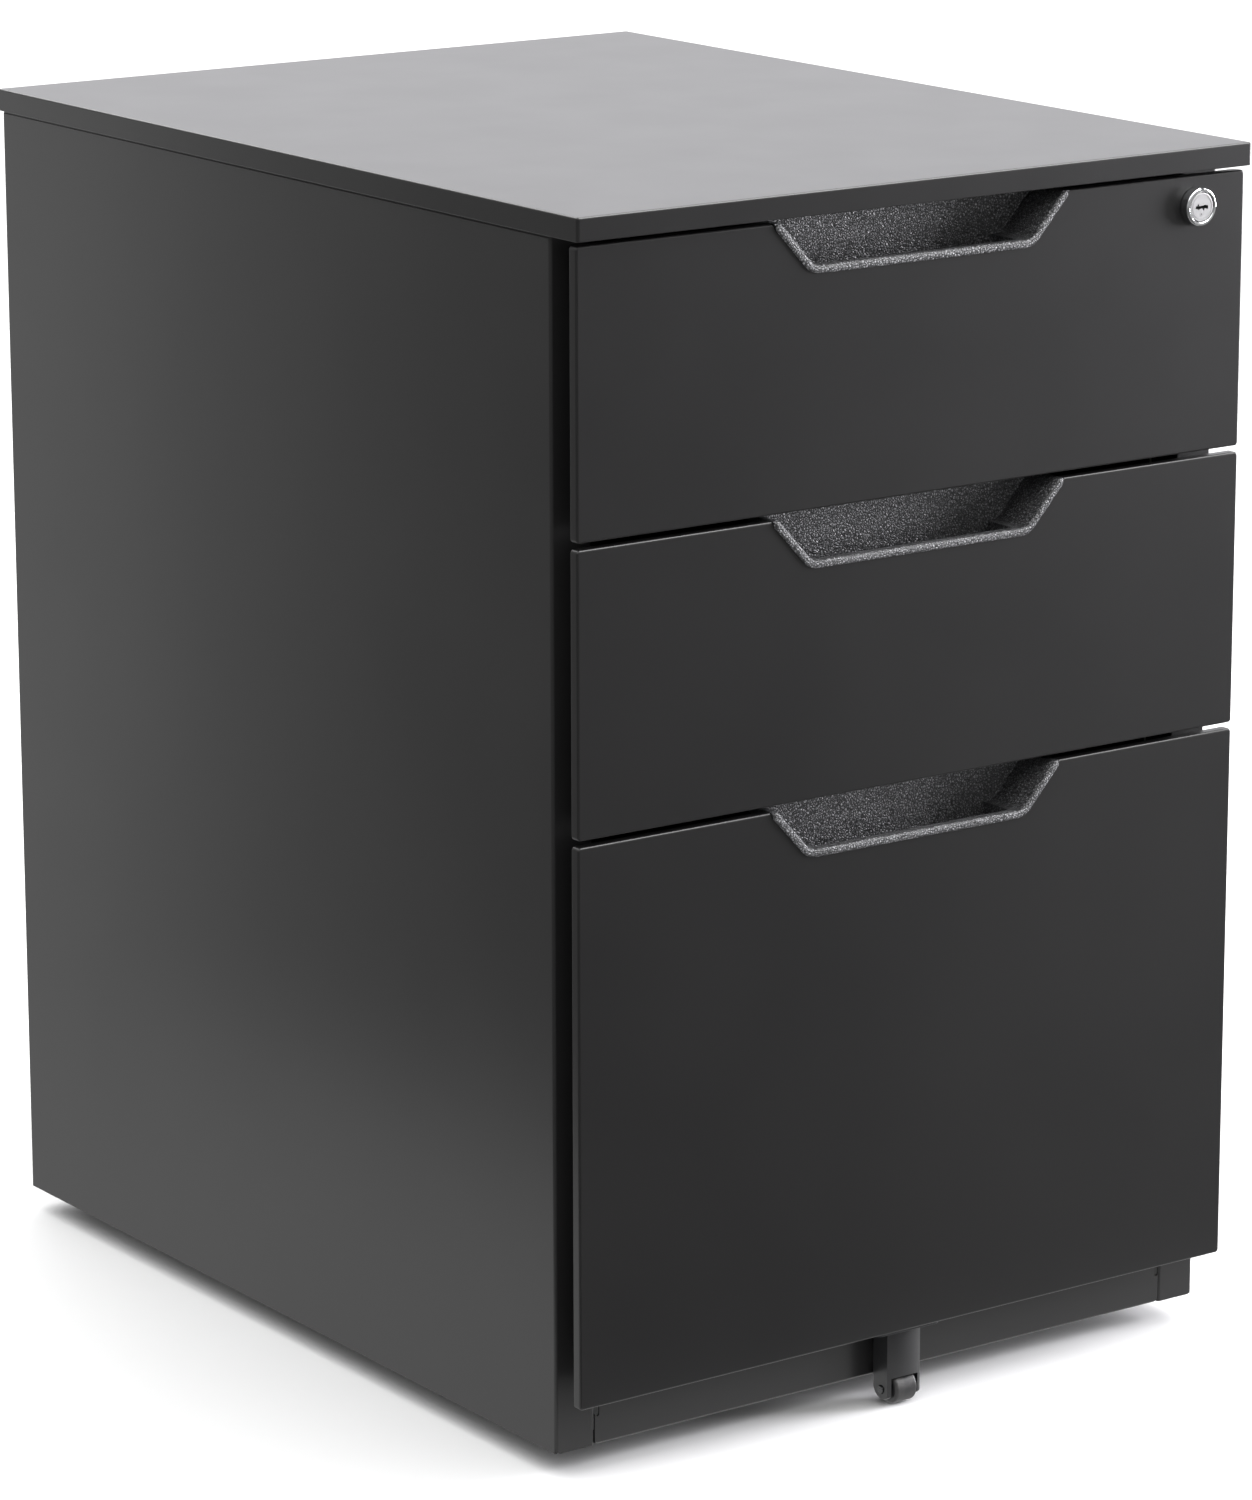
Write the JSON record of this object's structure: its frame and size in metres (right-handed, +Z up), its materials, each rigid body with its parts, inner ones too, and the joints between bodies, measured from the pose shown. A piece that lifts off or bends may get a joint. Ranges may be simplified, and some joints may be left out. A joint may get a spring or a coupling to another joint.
{
  "type": "rolling pedestal cabinet",
  "caption": "Black steel under-desk pedestal on swivel casters: box drawers over a file drawer, trapezoid finger pulls, a lock bar and an anti-tip wheel.",
  "frame": {"origin": "on the floor under the middle of the bounding box", "axes": "+X right as seen from the front, +Y towards the back, +Z up; the drawers open towards -Y"},
  "size_m": [0.393, 0.5192, 0.6],
  "materials": {
    "black_powder_coat": "satin powder coat",
    "black_tray_coat": "satin powder coat",
    "grained_black_plastic": "moulded leather grain",
    "zinc_plated_steel": "zinc plated",
    "lock_chrome": "bright chrome",
    "black_caster_plastic": "satin moulded",
    "black_tyre": "smooth hard tread"
  },
  "bodies": {
    "cabinet": {"top_panel": "black_powder_coat", "side_panel_left": "black_powder_coat", "side_panel_right": "black_powder_coat", "back_panel": "black_powder_coat", "base_pan": "black_powder_coat", "toe_rail": "black_powder_coat", "header_rail": "black_powder_coat", "slide_outer_top_left": "zinc_plated_steel", "slide_outer_top_right": "zinc_plated_steel", "slide_outer_middle_left": "zinc_plated_steel", "slide_outer_middle_right": "zinc_plated_steel", "slide_outer_bottom_left": "zinc_plated_steel", "slide_outer_bottom_right": "zinc_plated_steel", "caster_plate_front_left": "zinc_plated_steel", "caster_plate_front_right": "zinc_plated_steel", "caster_plate_rear_left": "zinc_plated_steel", "caster_plate_rear_right": "zinc_plated_steel"},
    "drawer_top": {"drawer_front_top": "black_powder_coat", "finger_pull_top": "grained_black_plastic", "tray_top": "black_tray_coat", "slide_inner_top_left": "zinc_plated_steel", "slide_inner_top_right": "zinc_plated_steel", "lock_housing": "lock_chrome", "lock_nut": "zinc_plated_steel"},
    "slides_top": {"slide_middle_top_left": "zinc_plated_steel", "slide_middle_top_right": "zinc_plated_steel"},
    "drawer_middle": {"drawer_front_middle": "black_powder_coat", "finger_pull_middle": "grained_black_plastic", "tray_middle": "black_tray_coat", "slide_inner_middle_left": "zinc_plated_steel", "slide_inner_middle_right": "zinc_plated_steel"},
    "slides_middle": {"slide_middle_middle_left": "zinc_plated_steel", "slide_middle_middle_right": "zinc_plated_steel"},
    "drawer_bottom": {"drawer_front_bottom": "black_powder_coat", "finger_pull_bottom": "grained_black_plastic", "tray_bottom": "black_tray_coat", "slide_inner_bottom_left": "zinc_plated_steel", "slide_inner_bottom_right": "zinc_plated_steel", "file_rail_left": "zinc_plated_steel", "file_rail_right": "zinc_plated_steel", "anti_tip_bracket": "black_caster_plastic", "anti_tip_axle": "zinc_plated_steel"},
    "slides_bottom": {"slide_middle_bottom_left": "zinc_plated_steel", "slide_middle_bottom_right": "zinc_plated_steel"},
    "lock_cylinder": {"lock_plug": "lock_chrome", "lock_cam": "zinc_plated_steel"},
    "lock_bar": {"lock_bar": "zinc_plated_steel"},
    "anti_tip_wheel": {"anti_tip_wheel": "black_tyre"},
    "caster_swivel_front_left": {"caster_fork_front_left": "zinc_plated_steel", "caster_axle_front_left": "zinc_plated_steel"},
    "caster_wheel_front_left": {"caster_wheel_front_left": "black_tyre"},
    "caster_swivel_front_right": {"caster_fork_front_right": "zinc_plated_steel", "caster_axle_front_right": "zinc_plated_steel"},
    "caster_wheel_front_right": {"caster_wheel_front_right": "black_tyre"},
    "caster_swivel_rear_left": {"caster_fork_rear_left": "zinc_plated_steel", "caster_axle_rear_left": "zinc_plated_steel"},
    "caster_wheel_rear_left": {"caster_wheel_rear_left": "black_tyre"},
    "caster_swivel_rear_right": {"caster_fork_rear_right": "zinc_plated_steel", "caster_axle_rear_right": "zinc_plated_steel"},
    "caster_wheel_rear_right": {"caster_wheel_rear_right": "black_tyre"}
  },
  "joints": [
    {"name": "drawer_top_slide", "type": "slide", "parent": "cabinet", "child": "drawer_top", "axis": [0, -1, 0], "range_m": [0, 0.4]},
    {"name": "slides_top_follow", "type": "slide", "parent": "cabinet", "child": "slides_top", "axis": [0, -1, 0], "range_m": [0, 0.2]},
    {"name": "drawer_middle_slide", "type": "slide", "parent": "cabinet", "child": "drawer_middle", "axis": [0, -1, 0], "range_m": [0, 0.4]},
    {"name": "slides_middle_follow", "type": "slide", "parent": "cabinet", "child": "slides_middle", "axis": [0, -1, 0], "range_m": [0, 0.2]},
    {"name": "drawer_bottom_slide", "type": "slide", "parent": "cabinet", "child": "drawer_bottom", "axis": [0, -1, 0], "range_m": [0, 0.4]},
    {"name": "slides_bottom_follow", "type": "slide", "parent": "cabinet", "child": "slides_bottom", "axis": [0, -1, 0], "range_m": [0, 0.2]},
    {"name": "lock_turn", "type": "hinge", "parent": "drawer_top", "child": "lock_cylinder", "pos_m": [0.1641, -0.25405, 0.5718], "axis": [0, 1, 0], "range_deg": [0, 90]},
    {"name": "lock_bar_lift", "type": "slide", "parent": "cabinet", "child": "lock_bar", "axis": [0, 0, 1], "range_m": [0, 0.008]},
    {"name": "anti_tip_wheel_spin", "type": "hinge", "parent": "drawer_bottom", "child": "anti_tip_wheel", "pos_m": [0, -0.24335, 0.0083], "axis": [1, 0, 0], "continuous": true},
    {"name": "caster_front_left_swivel", "type": "hinge", "parent": "cabinet", "child": "caster_swivel_front_left", "pos_m": [-0.14, -0.17385, 0.05], "axis": [0, 0, 1], "continuous": true},
    {"name": "caster_front_left_roll", "type": "hinge", "parent": "caster_swivel_front_left", "child": "caster_wheel_front_left", "pos_m": [-0.14, -0.16185, 0.016], "axis": [1, 0, 0], "continuous": true},
    {"name": "caster_front_right_swivel", "type": "hinge", "parent": "cabinet", "child": "caster_swivel_front_right", "pos_m": [0.14, -0.17385, 0.05], "axis": [0, 0, 1], "continuous": true},
    {"name": "caster_front_right_roll", "type": "hinge", "parent": "caster_swivel_front_right", "child": "caster_wheel_front_right", "pos_m": [0.14, -0.16185, 0.016], "axis": [1, 0, 0], "continuous": true},
    {"name": "caster_rear_left_swivel", "type": "hinge", "parent": "cabinet", "child": "caster_swivel_rear_left", "pos_m": [-0.14, 0.19815, 0.05], "axis": [0, 0, 1], "continuous": true},
    {"name": "caster_rear_left_roll", "type": "hinge", "parent": "caster_swivel_rear_left", "child": "caster_wheel_rear_left", "pos_m": [-0.14, 0.21015, 0.016], "axis": [1, 0, 0], "continuous": true},
    {"name": "caster_rear_right_swivel", "type": "hinge", "parent": "cabinet", "child": "caster_swivel_rear_right", "pos_m": [0.14, 0.19815, 0.05], "axis": [0, 0, 1], "continuous": true},
    {"name": "caster_rear_right_roll", "type": "hinge", "parent": "caster_swivel_rear_right", "child": "caster_wheel_rear_right", "pos_m": [0.14, 0.21015, 0.016], "axis": [1, 0, 0], "continuous": true}
  ],
  "couplings": [
    {"joint": "slides_top_follow", "follows": "drawer_top_slide", "ratio": 0.5},
    {"joint": "slides_middle_follow", "follows": "drawer_middle_slide", "ratio": 0.5},
    {"joint": "slides_bottom_follow", "follows": "drawer_bottom_slide", "ratio": 0.5},
    {"joint": "lock_bar_lift", "follows": "lock_turn", "m_per_rad": 0.00509}
  ]
}
